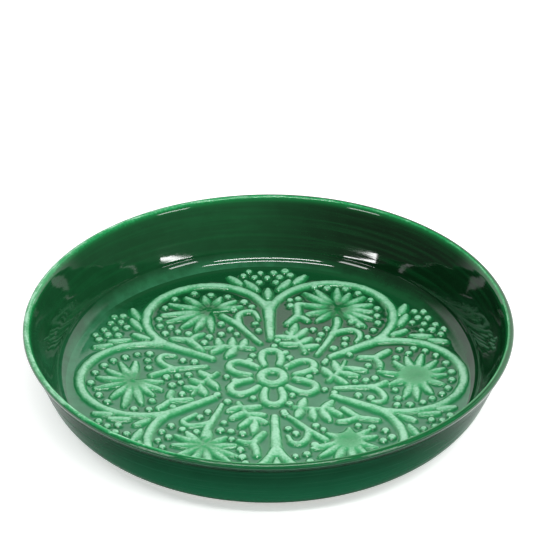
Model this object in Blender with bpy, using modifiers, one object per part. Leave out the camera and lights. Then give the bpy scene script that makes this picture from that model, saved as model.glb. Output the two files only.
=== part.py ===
"""A round earthenware dish with a raised floral floor, built in layers.

A turned clay body stands on a foot ring. A gloss glaze film lines the inside and turns over the lip,
a satin coat covers the outside below it, and the floor carries raised strokes: a six-lobed rib, a
centre rosette and, in each lobe, a daisy, a stem with a curl, a forked sprig and a leaf spray.
Metres, +Z up, origin on the table under the centre of the dish.
"""

import math

import bmesh
import bpy
from mathutils import Matrix, Vector

MM = 0.001

# Turned shape
RIM_RADIUS = 130 * MM  # to the outermost point of the lip
HEIGHT = 44 * MM
WALL_SPREAD = 14.1 * MM  # how far the wall leans out between the underside and the lip
LIP_FLARE = 1.9 * MM  # how much further it curves out by the lip
LIP_WALL = 3.7 * MM  # the wall's thickness at the lip
FOOT_WALL = 4.7 * MM  # and what it has grown to at the underside
FLOOR_THICKNESS = 6.1 * MM
COVE_RADIUS = 11.2 * MM  # inside, between floor and wall
ROLL_RADIUS = 25 * MM  # outside, between wall and underside
FOOT_HEIGHT = 3.0 * MM
FOOT_INSET = 27 * MM  # from the wall's line at the underside to the foot ring
FOOT_WIDTH = 8 * MM
FOOT_CHAMFER = 0.8 * MM

# Fired coats
COAT = 0.5 * MM  # thickness of the glaze film and of the outside coat
GAP = 0.3 * MM  # clearance between touching pieces
GLAZE_LINE_DROP = 4.8 * MM  # the glaze ends this far under the top of the lip

# Raised decoration, drawn for a floor of one radius and scaled to the real one
DRAWN_FLOOR_RADIUS = 103.7 * MM
RELIEF_HEIGHT = 1.6 * MM
PETALS = 6
PATTERN_SHIFT = 2.2 * MM  # the decoration sits this far off the centre of the rim, towards +X
PATTERN_TURN = math.radians(1.7)
LOBE_CENTRE = 66.8 * MM
LOBE_RADIUS = 32.6 * MM
LOBE_SWEEP = math.radians(102)  # each side of the lobe's outermost point
RIB_WIDTH = 4.6 * MM
SPOKE_INNER = 36 * MM
SPOKE_OUTER = 70 * MM
RING_OUTER = 8.8 * MM
RING_INNER = 3.6 * MM
ROSETTE_WIDTH = 4.2 * MM
STROKE_WIDTH = 3.4 * MM
LEAF_WIDTH = 3.4 * MM
LEAF_TIP_SHARE = 0.4  # width of a leaf's ends as a share of its middle
DAISY_CORE = 5 * MM
RAY_WIDTH = 3.0 * MM

TURN_STEPS = 48
RING_STEPS = 32

# Routes of the strokes in one lobe, as (outwards, to the left) in millimetres from the pattern's centre
STEM = ((63, -8), (56, -9.3), (48, -10.8), (40, -11.3), (34, -11.5))
CURL = ((52.5, -10), (58, -14.8), (59.8, -19), (57.5, -22.5), (52, -23))
SPRIG_FORK = ((61, 25.5), (57.5, 21.8), (54, 19.4), (46.5, 18.8))
SPRIG_ARM = ((56, 11.3), (55.2, 15), (53, 19))
SPRAY_VEIN = ((41.5, 12.5), (40.5, 8), (36, 2), (30.5, -4))
SPRAY_LEAVES = (
    ((49.5, 11.5), (42, 8.5)),
    ((49.5, 3.5), (41, 6.5)),
    ((44, -1), (37, 2)),
    ((38, -6), (31.5, -3.5)),
    ((36, 15.5), (39, 7)),
    ((32.5, 12), (35, 2.5)),
    ((27.5, 8), (31, -1)),
)
ROSETTE_LOOP = ((13, 4.6), (19, 5.4), (24, 4), (25.6, 0), (24, -4), (19, -5.4), (13, -4.6))
FAN_LEAVES = (
    ((97.5, 20.5), (91, 14.5)),
    ((93, 11.5), (84.5, 5.5)),
    ((93, -11.5), (84.5, -5.5)),
    ((97.5, -20.5), (91, -14.5)),
)

# Each lobe's daisy: its centre in millimetres, and its rays as (angle from outwards, length in millimetres)
DAISIES = (
    ((77, -2), ((6, 15), (27, 16), (54, 17), (80, 19), (106, 18), (128, 16), (148, 17),
                (-31, 16), (-60, 15), (-91, 20), (-114, 19))),
    ((73, -2), ((9, 18), (31, 20), (57, 21), (78, 22), (101, 21), (127, 19), (150, 15),
                (-15, 18), (-43, 19), (-63, 17), (-86, 19), (-108, 18))),
    ((73, -2), ((8, 17), (36, 18), (60, 21), (82, 22), (108, 20), (130, 17), (153, 14),
                (-24, 15), (-56, 16), (-85, 19), (-108, 17))),
    ((74, 1), ((19, 20), (44, 19), (78, 21), (99, 21), (127, 17), (149, 17), (170, 14),
               (-8, 18), (-38, 16), (-70, 16), (-95, 17))),
    ((74, -1), ((0, 17), (30, 16), (58, 16), (80, 17), (103, 15), (127, 14), (155, 13),
                (-34, 16), (-63, 17), (-83, 18), (-104, 17))),
    ((73, 1), ((4, 17), (30, 16), (56, 16), (80, 16), (106, 15), (130, 14), (158, 13),
               (-26, 16), (-54, 18), (-80, 19), (-104, 16))),
)

# Worked out from the values above
BASE_RADIUS = RIM_RADIUS - WALL_SPREAD - LIP_FLARE  # where the wall's line meets the underside
FOOT_RADIUS = BASE_RADIUS - FOOT_INSET
UNDERSIDE_Z = FOOT_HEIGHT - COAT
FLOOR_Z = UNDERSIDE_Z + FLOOR_THICKNESS
LIP_RADIUS = LIP_WALL / 2
LIP_Z = HEIGHT - LIP_RADIUS
RELIEF_Z = FLOOR_Z + GAP


# Profiles in the (radius, height) plane


def wall_point(height):
    """The outer face of the wall at a height."""
    t = (height - UNDERSIDE_Z) / (LIP_Z - UNDERSIDE_Z)
    return Vector((BASE_RADIUS + WALL_SPREAD * t + LIP_FLARE * t**3, height))


def wall_lean(height):
    """The outer face's angle from upright at a height."""
    span = LIP_Z - UNDERSIDE_Z
    t = (height - UNDERSIDE_Z) / span
    return math.atan((WALL_SPREAD + 3 * LIP_FLARE * t**2) / span)


def inner_wall_point(height):
    """The inner face of the wall, square across from the outer face's point at that height."""
    t = (height - UNDERSIDE_Z) / (LIP_Z - UNDERSIDE_Z)
    thickness = FOOT_WALL + (LIP_WALL - FOOT_WALL) * t
    lean = wall_lean(height)
    return wall_point(height) + thickness * Vector((-math.cos(lean), math.sin(lean)))


def arc(centre, radius, start, end, steps):
    """Points of an arc between two angles, ends included."""
    angles = [start + (end - start) * i / steps for i in range(steps + 1)]
    return [Vector((centre[0] + radius * math.cos(a), centre[1] + radius * math.sin(a))) for a in angles]


def corner_arc(meeting_radius, plane_z, radius, lean, steps):
    """The rounded corner between a level plane and a wall leaning outwards by an angle, plane end first."""
    centre = (meeting_radius - radius * (1 - math.sin(lean)) / math.cos(lean), plane_z + radius)
    return arc(centre, radius, -math.pi / 2, -lean, steps)


def cove_points():
    """The rounded corner between the floor and the inner wall, floor end first."""
    low = inner_wall_point(UNDERSIDE_Z)
    rise = inner_wall_point(FLOOR_Z + COVE_RADIUS) - low
    slope = rise.x / rise.y
    meeting_radius = low.x + (FLOOR_Z - low.y) * slope
    return corner_arc(meeting_radius, FLOOR_Z, COVE_RADIUS, math.atan(slope), 4)


def skin_profile():
    """The finished surface from the middle of the floor, over the lip, to the middle of the underside.

    Returns its points and the place in them where the outside coat starts.
    """
    cove = cove_points()
    roll = corner_arc(BASE_RADIUS, UNDERSIDE_Z, ROLL_RADIUS, wall_lean(UNDERSIDE_Z), 5)

    lip_lean = wall_lean(LIP_Z)
    lip_centre = Vector((RIM_RADIUS - LIP_RADIUS, LIP_Z))
    lip = arc(lip_centre, LIP_RADIUS, math.pi - lip_lean, -lip_lean, 6)

    low = cove[-1].y
    heights = [low + (LIP_Z - low) * share for share in (0.4, 0.75)]
    inner_wall = [inner_wall_point(height) for height in heights]

    line_z = HEIGHT - GLAZE_LINE_DROP
    middle_z = (line_z + roll[-1].y) / 2
    line = [wall_point(height) for height in (line_z, line_z - GAP, middle_z)]

    start = [Vector((0, FLOOR_Z)), *cove, *inner_wall, *lip]
    return start + line + roll[::-1] + [Vector((0, UNDERSIDE_Z))], len(start) + 1


def inset(points, depth):
    """The same open profile moved into the material by a depth, with mitred corners."""
    normals = []
    for a, b in zip(points, points[1:]):
        along = (b - a).normalized()
        normals.append(Vector((along.y, -along.x)))
    moved = []
    for i, point in enumerate(points):
        before = normals[max(i - 1, 0)]
        after = normals[min(i, len(normals) - 1)]
        middle = (before + after).normalized()
        moved.append(point + depth * middle / middle.dot(after))
    return moved


# Objects


def material(name, colour, roughness):
    made = bpy.data.materials.new(name)
    made.use_nodes = True
    shader = made.node_tree.nodes["Principled BSDF"]
    shader.inputs["Base Color"].default_value = (*colour, 1)
    shader.inputs["Roughness"].default_value = roughness
    shader.inputs["Metallic"].default_value = 0
    return made


def add(name, data, collection, finish=None):
    made = bpy.data.objects.new(name, data)
    collection.objects.link(made)
    if finish:
        data.materials.append(finish)
    return made


def turned(name, profile, collection, finish, closed=False, steps=TURN_STEPS):
    """A profile turned about Z. One that isn't closed starts and ends on the axis."""
    mesh = bpy.data.meshes.new(name)
    edges = [(i, i + 1) for i in range(len(profile) - 1)]
    if closed:
        edges.append((len(profile) - 1, 0))
    mesh.from_pydata([(p[0], 0, p[1]) for p in profile], edges, [])
    made = add(name, mesh, collection, finish)
    screw = made.modifiers.new("Turn", "SCREW")
    screw.steps = steps
    screw.render_steps = steps
    screw.use_merge_vertices = True
    screw.merge_threshold = 0.00001
    screw.use_smooth_shade = True
    return made


def smooth_route(route, spans=2):
    """Points of a Catmull-Rom curve through a route given in millimetres."""
    knots = [Vector(p) * MM for p in route]
    knots = [2 * knots[0] - knots[1], *knots, 2 * knots[-1] - knots[-2]]
    points = []
    for a, b, c, d in zip(knots, knots[1:], knots[2:], knots[3:]):
        for i in range(spans):
            t = i / spans
            first = 2 * b + t * (c - a)
            second = t**2 * (2 * a - 5 * b + 4 * c - d)
            third = t**3 * (3 * b - a - 3 * c + d)
            points.append((first + second + third) / 2)
    return [*points, knots[-2]]


def stroke_outline(points, widths):
    """The outline of a stroke along points, as wide at each as widths says, with blunt ends."""
    left, right = [], []
    for i, point in enumerate(points):
        along = (points[min(i + 1, len(points) - 1)] - points[max(i - 1, 0)]).normalized()
        side = Vector((-along.y, along.x)) * widths[i] / 2
        left.append(point + side)
        right.append(point - side)
    nose = (points[0] - points[1]).normalized() * widths[0] / 2
    tail = (points[-1] - points[-2]).normalized() * widths[-1] / 2
    return [points[0] + nose, *right, points[-1] + tail, *left[::-1]]


def even_outline(route, width):
    points = smooth_route(route)
    return stroke_outline(points, [width] * len(points))


def leaf_outline(tip, root):
    """A leaf, widest in the middle."""
    tip, root = Vector(tip) * MM, Vector(root) * MM
    points = [tip.lerp(root, share) for share in (0, 0.3, 0.65, 1)]
    widths = [LEAF_WIDTH * share for share in (LEAF_TIP_SHARE, 1, 1, LEAF_TIP_SHARE)]
    return stroke_outline(points, widths)


def daisy_outline(centre, rays):
    """A star of leaf-shaped rays round a core, which is all that shows where two rays are far apart."""
    centre = Vector(centre) * MM
    rays = sorted((math.radians(angle), length * MM) for angle, length in rays)
    outline = []
    for i, (angle, length) in enumerate(rays):
        before = rays[i - 1][0] - (2 * math.pi if i == 0 else 0)
        apart = angle - before
        valley = max(DAISY_CORE, RAY_WIDTH / (2 * math.sin(min(apart, math.pi) / 2)))
        middle = angle - apart / 2
        outline.append(centre + valley * Vector((math.cos(middle), math.sin(middle))))
        outwards = Vector((math.cos(angle), math.sin(angle)))
        side = Vector((-outwards.y, outwards.x))
        for share, width in ((0.68, -1), (0.98, -0.4), (0.98, 0.4), (0.68, 1)):
            outline.append(centre + share * length * outwards + width * RAY_WIDTH / 2 * side)
    return outline


def mesh_of(thing):
    """The evaluated mesh of an object where it stands, welded shut."""
    bpy.context.view_layer.update()
    graph = bpy.context.evaluated_depsgraph_get()
    mesh = bpy.data.meshes.new_from_object(thing.evaluated_get(graph))
    mesh.transform(thing.matrix_world)
    mesh.name = thing.name
    edit = bmesh.new()
    edit.from_mesh(mesh)
    bmesh.ops.remove_doubles(edit, verts=edit.verts, dist=0.000001)
    bmesh.ops.recalc_face_normals(edit, faces=edit.faces)
    edit.to_mesh(mesh)
    edit.free()
    return mesh


def prism(name, outline, collection, finish=None):
    """A flat outline standing on the floor, as tall as the relief."""
    curve = bpy.data.curves.new(name, "CURVE")
    curve.dimensions = "2D"
    curve.fill_mode = "BOTH"
    curve.extrude = RELIEF_HEIGHT / 2
    spline = curve.splines.new("POLY")
    spline.points.add(len(outline) - 1)
    for point, place in zip(spline.points, outline):
        point.co = (place[0], place[1], 0, 1)
    spline.use_cyclic_u = True
    drawn = add(name, curve, collection)
    drawn.location.z = RELIEF_Z + RELIEF_HEIGHT / 2
    mesh = mesh_of(drawn)
    bpy.data.objects.remove(drawn)
    return add(name, mesh, collection, finish)


def fused(name, outlines, collection, finish):
    """Several overlapping outlines raised and joined into one solid."""
    pieces = [prism(f"{name}_piece_{i}", outline, collection) for i, outline in enumerate(outlines)]
    for other in pieces[1:]:
        union = pieces[0].modifiers.new("Join", "BOOLEAN")
        union.operation = "UNION"
        union.object = other
    mesh = mesh_of(pieces[0])
    for piece in pieces:
        bpy.data.objects.remove(piece)
    return add(name, mesh, collection, finish)


def pattern_matrix(angle=0):
    """The place in the decoration of a piece drawn with +X outwards, turned by an angle."""
    scale = cove_points()[0].x / DRAWN_FLOOR_RADIUS
    size = Matrix.Diagonal((scale, scale, 1, 1))
    shift = Matrix.Translation((PATTERN_SHIFT, 0, 0))
    return size @ shift @ Matrix.Rotation(angle + PATTERN_TURN, 4, "Z")


def repeated(original, angles, collection):
    """Copies of an object at each angle, numbered from 1, in place of the original."""
    for number, angle in enumerate(angles, 1):
        copy = add(f"{original.name}_{number}", original.data, collection)
        copy.matrix_world = pattern_matrix(angle)
    bpy.data.objects.remove(original)


# The dish


def make_vessel(collection, finishes):
    skin, coat_start = skin_profile()
    film = inset(skin, COAT)
    turned("clay_body", inset(skin, COAT + GAP), collection, finishes["clay"])

    glaze = skin[:coat_start] + film[coat_start - 1 :: -1]
    turned("inner_glaze", glaze, collection, finishes["glaze"])

    edge = Vector((FOOT_RADIUS + GAP, UNDERSIDE_Z))
    coat = [*skin[coat_start:-1], edge, edge + Vector((0, COAT)), *film[-2 : coat_start - 1 : -1]]
    turned("outer_coat", coat, collection, finishes["coat"], closed=True)

    inner = FOOT_RADIUS - FOOT_WIDTH
    foot = (
        (inner, FOOT_HEIGHT),
        (FOOT_RADIUS, FOOT_HEIGHT),
        (FOOT_RADIUS, FOOT_CHAMFER),
        (FOOT_RADIUS - FOOT_CHAMFER, 0),
        (inner + FOOT_CHAMFER, 0),
        (inner, FOOT_CHAMFER),
    )
    turned("foot_ring", foot, collection, finishes["clay"], closed=True)


def make_rib(collection, finish, petal_angles, fan_angles):
    """The six-lobed rib: an arc round each petal and a spoke between neighbours, in one piece."""
    outlines = []
    for angle in petal_angles:
        turn = Matrix.Rotation(angle, 2)
        points = [turn @ p for p in arc((LOBE_CENTRE, 0), LOBE_RADIUS, -LOBE_SWEEP, LOBE_SWEEP, 16)]
        outlines.append(stroke_outline(points, [RIB_WIDTH] * len(points)))
    for angle in fan_angles:
        outwards = Vector((math.cos(angle), math.sin(angle)))
        ends = [SPOKE_OUTER * outwards, SPOKE_INNER * outwards]
        outlines.append(stroke_outline(ends, [RIB_WIDTH, RIB_WIDTH]))
    fused("petal_rib", outlines, collection, finish).matrix_world = pattern_matrix()


def make_rosette(collection, finish, angles):
    top = RELIEF_Z + RELIEF_HEIGHT
    ring = ((RING_INNER, top), (RING_OUTER, top), (RING_OUTER, RELIEF_Z), (RING_INNER, RELIEF_Z))
    made = turned("centre_ring", ring, collection, finish, closed=True, steps=RING_STEPS)
    made.matrix_world = pattern_matrix()
    loop = even_outline(ROSETTE_LOOP, ROSETTE_WIDTH)
    repeated(prism("rosette_petal", loop, collection, finish), angles, collection)


def make_petals(collection, finish, angles):
    for number, (angle, (centre, rays)) in enumerate(zip(angles, DAISIES), 1):
        daisy = prism(f"daisy_{number}", daisy_outline(centre, rays), collection, finish)
        daisy.matrix_world = pattern_matrix(angle)

    strokes = {
        "stem": [even_outline(STEM, STROKE_WIDTH), even_outline(CURL, STROKE_WIDTH)],
        "sprig": [even_outline(SPRIG_FORK, STROKE_WIDTH), even_outline(SPRIG_ARM, STROKE_WIDTH)],
        "leaf_spray": [
            even_outline(SPRAY_VEIN, STROKE_WIDTH),
            *(leaf_outline(tip, root) for tip, root in SPRAY_LEAVES),
        ],
    }
    for name, outlines in strokes.items():
        repeated(fused(name, outlines, collection, finish), angles, collection)


def make_fans(collection, finish, angles):
    for letter, (tip, root) in zip("abcd", FAN_LEAVES):
        leaf = prism(f"fan_leaf_{letter}", leaf_outline(tip, root), collection, finish)
        repeated(leaf, angles, collection)


def main():
    for old in list(bpy.data.objects):
        bpy.data.objects.remove(old)
    dish = bpy.data.collections.new("relief_dish")
    bpy.context.scene.collection.children.link(dish)
    finishes = {
        "clay": material("clay", (0.72, 0.55, 0.44), 0.85),
        "glaze": material("gloss_green_glaze", (0.02, 0.17, 0.05), 0.08),
        "coat": material("satin_green_coat", (0.015, 0.11, 0.05), 0.45),
        "relief": material("glazed_relief", (0.08, 0.42, 0.16), 0.1),
    }
    step = 2 * math.pi / PETALS
    petal_angles = [step * i for i in range(PETALS)]
    fan_angles = [angle + step / 2 for angle in petal_angles]
    make_vessel(dish, finishes)
    make_rib(dish, finishes["relief"], petal_angles, fan_angles)
    make_rosette(dish, finishes["relief"], fan_angles)
    make_petals(dish, finishes["relief"], petal_angles)
    make_fans(dish, finishes["relief"], fan_angles)


main()
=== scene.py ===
import math

import bpy
import numpy as np
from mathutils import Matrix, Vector


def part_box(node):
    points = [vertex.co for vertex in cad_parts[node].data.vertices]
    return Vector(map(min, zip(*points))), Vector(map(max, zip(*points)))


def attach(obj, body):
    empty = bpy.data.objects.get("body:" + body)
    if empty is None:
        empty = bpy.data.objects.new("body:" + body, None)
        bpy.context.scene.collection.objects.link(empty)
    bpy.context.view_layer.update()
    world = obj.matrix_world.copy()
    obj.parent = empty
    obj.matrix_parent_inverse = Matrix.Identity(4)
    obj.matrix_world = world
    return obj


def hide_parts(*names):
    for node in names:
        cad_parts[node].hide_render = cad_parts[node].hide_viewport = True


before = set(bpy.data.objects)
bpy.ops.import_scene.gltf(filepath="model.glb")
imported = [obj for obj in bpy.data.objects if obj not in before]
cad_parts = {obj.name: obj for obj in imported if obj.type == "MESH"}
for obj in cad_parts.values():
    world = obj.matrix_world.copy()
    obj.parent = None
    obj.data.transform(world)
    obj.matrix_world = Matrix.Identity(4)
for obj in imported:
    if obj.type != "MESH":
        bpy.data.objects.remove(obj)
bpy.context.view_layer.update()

# A glazed earthenware dish. Lengths are in millimetres until a mesh is made.
# The floor carries slip-trailed flowers under one skin of green glaze, which pools deep between them
# and breaks pale over their tops. The wall is brushed, the outside satin, the foot bare clay.

MM = 0.001
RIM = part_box("inner_glaze")[1].x / MM
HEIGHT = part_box("inner_glaze")[1].z / MM
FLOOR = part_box("inner_glaze")[0].z / MM + 0.5
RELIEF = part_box("petal_rib")[1].z / MM - FLOOR
FOOT_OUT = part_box("foot_ring")[1].x / MM
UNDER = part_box("outer_coat")[0].z / MM
CLAY_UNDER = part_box("clay_body")[0].z / MM
FINE = 0.45

COAT = 0.5
CLEARANCE = 0.3
LIP = 1.85
LIP_Z = HEIGHT - LIP
COVE = 11.2
ROLL = 25.0
FOOT_WIDE = 8.0
GLAZE_END = HEIGHT - 4.8
BASE = RIM - 16.0

PATTERN_X = 2.2
PATTERN_TURN = math.radians(1.7)
FLOOR_EDGE = 108.0
FLOWERS_OUT = 78.0
MIDDLE_EDGE = 34.0

SMALL_RANDOM = np.random.default_rng(17)


# The turned profile


def wall_out(z):
    t = (z - UNDER) / (LIP_Z - UNDER)
    return BASE + 14.1 * t + 1.9 * t**3


def wall_lean(z):
    span = LIP_Z - UNDER
    t = (z - UNDER) / span
    return np.arctan((14.1 + 5.7 * t**2) / span)


def wall_in(z):
    """The inner face, square across the wall from the outer face at a height, as (radius, height)."""
    t = (z - UNDER) / (LIP_Z - UNDER)
    thick = 4.7 - t
    lean = wall_lean(z)
    return np.stack([wall_out(z) - thick * np.cos(lean), z + thick * np.sin(lean)], axis=-1)


LOW_WALL = wall_in(np.array(UNDER))
COVE_WALL = wall_in(np.array(FLOOR + COVE))
WALL_SLOPE = (COVE_WALL[0] - LOW_WALL[0]) / (COVE_WALL[1] - LOW_WALL[1])
COVE_LEAN = math.atan(WALL_SLOPE)
COVE_MEET = LOW_WALL[0] + (FLOOR - LOW_WALL[1]) * WALL_SLOPE
COVE_START = COVE_MEET - COVE * (1 - math.sin(COVE_LEAN)) / math.cos(COVE_LEAN)


def floor_level(radius):
    """The floor's height out to where the cove has begun to climb."""
    into = np.clip(radius - COVE_START, 0, COVE * 0.98)
    return FLOOR + COVE - np.sqrt(COVE**2 - into**2)


def arc(centre, radius, start, end, steps):
    angles = np.linspace(start, end, steps + 1)
    return np.stack([centre[0] + radius * np.cos(angles), centre[1] + radius * np.sin(angles)], axis=-1)


def running(points):
    """How far along a line each of its points is."""
    return np.concatenate([[0], np.cumsum(np.hypot(*np.diff(points, axis=0).T))])


def eased(t):
    """0 below 0, 1 above 1, and a soft rise between."""
    t = np.clip(t, 0, 1)
    return t * t * (3 - 2 * t)


def evenly(points, step):
    """The same line with its points about a step apart."""
    lengths = running(points)
    count = max(2, int(round(lengths[-1] / step)) + 1)
    places = np.linspace(0, lengths[-1], count)
    return np.stack([np.interp(places, lengths, points[:, k]) for k in (0, 1)], axis=-1)


def inset(points, depth):
    """An open line moved into the clay, to the right of its direction of travel."""
    along = np.gradient(points, axis=0)
    along /= np.linalg.norm(along, axis=1)[:, None]
    return points + np.reshape(depth, (-1, 1)) * np.stack([along[:, 1], -along[:, 0]], axis=-1)


def inner_line():
    """From the edge of the floor pieces up the cove and the wall, over the lip, down to the glaze line."""
    start = -math.pi / 2 + math.asin((FLOOR_EDGE - COVE_START) / COVE)
    cove = arc((COVE_START, FLOOR + COVE), COVE, start, -COVE_LEAN, 24)
    lip_lean = float(wall_lean(LIP_Z))
    lip = arc((RIM - LIP, LIP_Z), LIP, math.pi - lip_lean, -lip_lean, 28)
    heights = np.linspace(FLOOR + 4, LIP_Z, 60)
    wall = wall_in(heights)
    wall = wall[(wall[:, 1] > cove[-1, 1] + 0.5) & (wall[:, 1] < lip[0, 1] - 0.4)]
    heights = np.linspace(LIP_Z - 1.2, GLAZE_END, 8)
    outside = np.stack([wall_out(heights), heights], axis=-1)
    return cove, wall, lip, outside


def outer_line():
    """From just under the glaze line down the wall and round the roll to the foot ring."""
    heights = np.linspace(GLAZE_END - CLEARANCE, UNDER + ROLL * 0.75, 60)
    lean = float(wall_lean(UNDER))
    centre = (BASE - ROLL * (1 - math.sin(lean)) / math.cos(lean), UNDER + ROLL)
    roll = arc(centre, ROLL, -lean, -math.pi / 2, 60)
    wall = np.stack([wall_out(heights), heights], axis=-1)
    wall = wall[wall[:, 1] > roll[0, 1] + 0.6]
    return np.concatenate([wall, roll, [[FOOT_OUT + CLEARANCE, UNDER]]])


# Slow unevenness of a hand-turned and hand-glazed piece


def ripple(x, y, size, seed):
    """A smooth irregular field between about -1 and 1, with features of a size."""
    total = np.zeros_like(x, dtype=float)
    for i in range(5):
        heading = 2.399 * (i + 1) + 1.7 * seed
        rate = 2 * math.pi / size * (0.62 + 0.19 * i)
        total += np.sin(rate * (x * math.cos(heading) + y * math.sin(heading)) + 5.3 * i + 2.1 * seed)
    return total / 3


def round_ripple(angle, along, waves, size, seed):
    """The same for a turned surface: waves round the dish, a size along its profile."""
    total = np.zeros(np.broadcast(angle, along).shape)
    for i in range(5):
        count = max(1, round(waves * (0.5 + 0.37 * i)))
        rate = 2 * math.pi / size * (0.6 + 0.23 * i)
        total += np.sin(count * angle + 3.1 * i * seed + rate * along * (-1) ** i + 1.9 * seed + i)
    return total / 3


# The flowers. Each lobe's strokes are written as (to the right, outwards) from the pattern's centre.

# Each daisy's centre, the radius of its heart, and the tips of its rays
DAISIES = {
    "right": (
        (1.7, 76), 8.6,
        (
            (-12, 88), (-5, 92), (0.8, 92.5), (9.6, 91), (18, 84), (22.5, 76), (21, 69.5), (-18, 81),
            (-16, 72.5), (-12, 66), (-3, 57), (9, 62),
        ),
    ),
    "upper_right": (
        (0, 75), 4.5,
        (
            (-9, 92), (-1, 90.5), (-18, 85), (-22.5, 80), (-21, 69), (7.5, 91.6), (14.6, 87), (18, 81),
            (21, 74.5), (21, 66.5), (-12, 62), (-4, 59),
        ),
    ),
    "upper_left": (
        (4, 72.5), 4.2,
        (
            (0, 90), (-11, 89), (-20, 82), (-21, 75), (-17, 66), (-12, 60), (-5, 55), (9, 85.5), (16, 80),
            (21, 73), (21, 66.5),
        ),
    ),
    "left": (
        (-2, 74.5), 4.2,
        (
            (-8, 94.5), (2, 93), (9, 88), (-17, 86), (-25, 79.5), (-23, 70), (-15, 64), (-10.5, 59.5),
            (-3, 59), (16, 73), (15, 81),
        ),
    ),
    "lower_left": (
        (1, 73), 4.4,
        (
            (0, 90), (-10, 87), (-17, 79), (-18, 73), (-13, 65), (-5, 61), (9, 86), (16, 80), (19, 72),
            (15, 67), (5, 60),
        ),
    ),
    "lower_right": (
        (-3, 71), 7.2,
        (
            (-4, 88), (-12, 84), (-17, 75), (-17, 68.5), (-9, 62), (4, 87), (12, 82), (17, 75), (17, 67),
            (3, 60),
        ),
    ),
}

# How deep the glaze pools over each flower's heart
HEARTS = {
    "right": 0.55,
    "upper_right": 1.0,
    "upper_left": 1.0,
    "left": 0.5,
    "lower_left": 0.3,
    "lower_right": 0.45,
}

STEMS = {
    "right": ((6.7, 60), (9.4, 56), (11, 51), (11.2, 41), (11.7, 33)),
    "upper_right": ((4.6, 66), (7.5, 60), (9.6, 49.5), (10.6, 40), (11, 30)),
    "upper_left": ((7.5, 64.5), (10.4, 53.7), (10.8, 45), (11.3, 31)),
    "left": ((3.4, 64.5), (8, 55), (9.6, 47), (10.8, 35)),
    "lower_left": ((5.2, 66), (7.5, 59), (9, 48), (11, 36)),
    "lower_right": ((7, 64), (9.6, 52), (12, 36)),
}

CURLS = {
    "right": ((11, 52), (13.5, 55.6), (19, 58.6), (24, 58), (25, 52.6)),
    "upper_right": ((9.2, 52), (12, 56.4), (16, 60), (20.4, 60), (23.6, 56.4), (24, 51)),
    "upper_left": ((10.8, 52), (14, 58.7), (19, 61.6), (24, 58.7), (22.8, 51.6)),
    "left": ((8.8, 52), (13, 57.4), (18, 60.4), (22, 58), (21.4, 52)),
    "lower_left": ((8.6, 53), (13, 58), (18, 60.6), (22, 58), (19, 50)),
    "lower_right": ((9.8, 52), (14, 57), (19, 59.6), (23, 57), (22, 51)),
}

SPRIGS = {
    "right": (
        ((-23, 63), (-19.6, 59), (-17, 55.6), (-17.2, 47.6)), ((-7.5, 58), (-12, 57.6), (-16.6, 55.4)),
    ),
    "upper_right": (
        ((-21, 68), (-18.4, 63.4), (-16, 58.6), (-17, 49)), ((-9, 57), (-13, 58), (-16.4, 57)),
    ),
    "upper_left": (
        ((-26.7, 59.5), (-23, 56.4), (-20, 53), (-19, 41.5)),
        ((-10.8, 54.5), (-15.4, 54.8), (-19.8, 52.6)),
    ),
    "left": (((-27.5, 61), (-24, 57.6), (-21, 54), (-20, 44)), ((-12.5, 54), (-16.4, 55), (-20.6, 53.6))),
    "lower_left": (
        ((-27, 67), (-23.4, 62), (-20, 58), (-20.4, 48)), ((-12.5, 60), (-16.4, 59.8), (-20, 57.6)),
    ),
    "lower_right": (
        ((-26, 63), (-22.4, 59.4), (-19, 56), (-16.4, 45)), ((-8, 53.5), (-13, 55.4), (-18.4, 55.6)),
    ),
}

# A spray of leaves: its vein, then each leaf as (tip, root)
SPRAYS = {
    "right": (
        ((4, 30), (-4, 36), (-14, 39.5)),
        (
            ((-4.6, 50), (-7.4, 39.6)), ((0.4, 45.4), (-3, 37)), ((7.5, 39), (1, 33.4)),
            ((-13, 33.6), (-4, 35.4)), ((-7, 27.6), (0.6, 32)),
        ),
    ),
    "upper_right": (
        ((4, 29.5), (-4, 36.4), (-13.6, 41.4)),
        (
            ((-12.4, 50), (-10, 40)), ((-5.4, 48.6), (-6.6, 39)), ((0.6, 42), (-2, 35.6)),
            ((7, 37.6), (1, 32)), ((-16, 35), (-8, 38)), ((-10.6, 30), (-2, 34)),
        ),
    ),
    "upper_left": (
        ((5, 28.7), (-4, 36.4), (-16.7, 42.8)),
        (
            ((-6.4, 45.6), (-9, 39.6)), ((0.4, 42), (-3.4, 36)), ((5.6, 37.4), (0.6, 32.4)),
            ((-10.6, 29.4), (-2.6, 34)), ((-15.4, 37), (-7, 38.4)),
        ),
    ),
    "left": (
        ((4.4, 29.6), (-4, 37), (-15, 43)),
        (
            ((-8.4, 46.6), (-10, 40.6)), ((-1.6, 43.6), (-5, 37.6)), ((5.6, 38.6), (0.4, 33)),
            ((-15.6, 36), (-7.6, 39)), ((-9.6, 29.4), (-1.6, 34.4)),
        ),
    ),
    "lower_left": (
        ((4.4, 30), (-5, 37), (-13.4, 42.4)),
        (
            ((-15.6, 50), (-12, 41.6)), ((-7, 48.6), (-8.6, 39.6)), ((1, 44.4), (-3, 35.8)),
            ((5.6, 39), (1.4, 32.4)), ((-17, 38.6), (-9, 39)), ((-13, 33.4), (-5, 36.4)),
            ((-7, 27.6), (0, 33)),
        ),
    ),
    "lower_right": (
        ((5, 30), (-3, 37), (-11.6, 42)),
        (
            ((-12, 49), (-9.4, 41)), ((-4.4, 50), (-6, 39.4)), ((2, 44.6), (-2, 36.6)),
            ((8.6, 38.4), (2, 32.6)), ((-14.6, 36.4), (-7, 39)), ((-3, 27), (2.4, 32)),
        ),
    ),
}

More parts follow.
